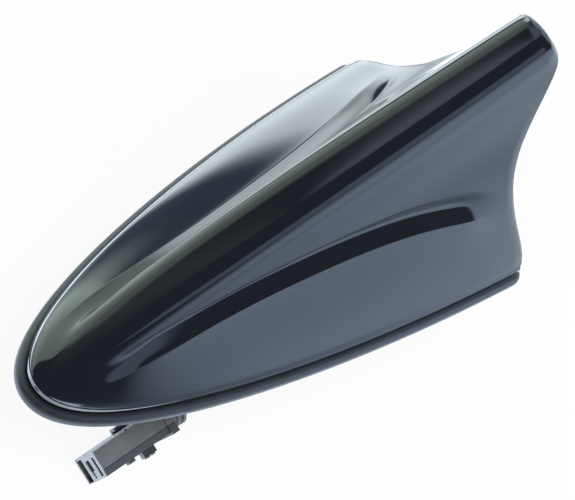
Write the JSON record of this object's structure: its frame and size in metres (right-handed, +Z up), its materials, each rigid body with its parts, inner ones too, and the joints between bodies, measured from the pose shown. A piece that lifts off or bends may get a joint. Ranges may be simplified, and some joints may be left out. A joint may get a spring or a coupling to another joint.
{
  "type": "car roof antenna",
  "caption": "Glossy black fin-shaped car roof antenna on a rubber gasket, with a cast base, a roof fixing bolt and a short lead that ends in a plug.",
  "frame": {"origin": "centre of the neck that goes through the roof, on the gasket's underside, which is the roof skin", "axes": "+X towards the rear of the car, +Y towards its right side, +Z up, away from the roof"},
  "size_m": [0.1664, 0.0782, 0.1012],
  "materials": {
    "cover_gloss": "gloss",
    "gasket_rubber": "matte",
    "base_alloy": "satin",
    "spring_steel": "satin",
    "bolt_steel": "satin",
    "board_green": "satin",
    "chip_black": "matte",
    "tin_plate": "satin",
    "patch_ceramic": "matte",
    "silver_film": "satin",
    "contact_brass": "satin",
    "copper": "satin",
    "holder_plastic": "matte",
    "lead_jacket": "matte",
    "plug_grey": "satin",
    "latch_grey": "satin"
  },
  "bodies": {
    "root": {"fin_cover": "cover_gloss", "roof_gasket": "gasket_rubber", "base_plate": "base_alloy", "neck_seal": "gasket_rubber", "fixing_bolt": "bolt_steel", "claw_clip": "spring_steel", "main_board": "board_green", "board_screws": "bolt_steel", "board_chips": "chip_black", "shield_can": "tin_plate", "sat_patch": "patch_ceramic", "sat_electrode": "silver_film", "sat_pin": "contact_brass", "locator_patch": "patch_ceramic", "locator_electrode": "silver_film", "locator_pin": "contact_brass", "blade_board": "board_green", "blade_trace": "copper", "blade_holder": "holder_plastic", "loading_coil": "copper", "coil_foot": "tin_plate", "lead_socket": "contact_brass", "lead_gland": "gasket_rubber", "lead": "lead_jacket", "lead_boot": "lead_jacket", "plug_housing": "plug_grey", "plug_latch": "latch_grey", "plug_contacts": "contact_brass"}
  },
  "joints": []
}
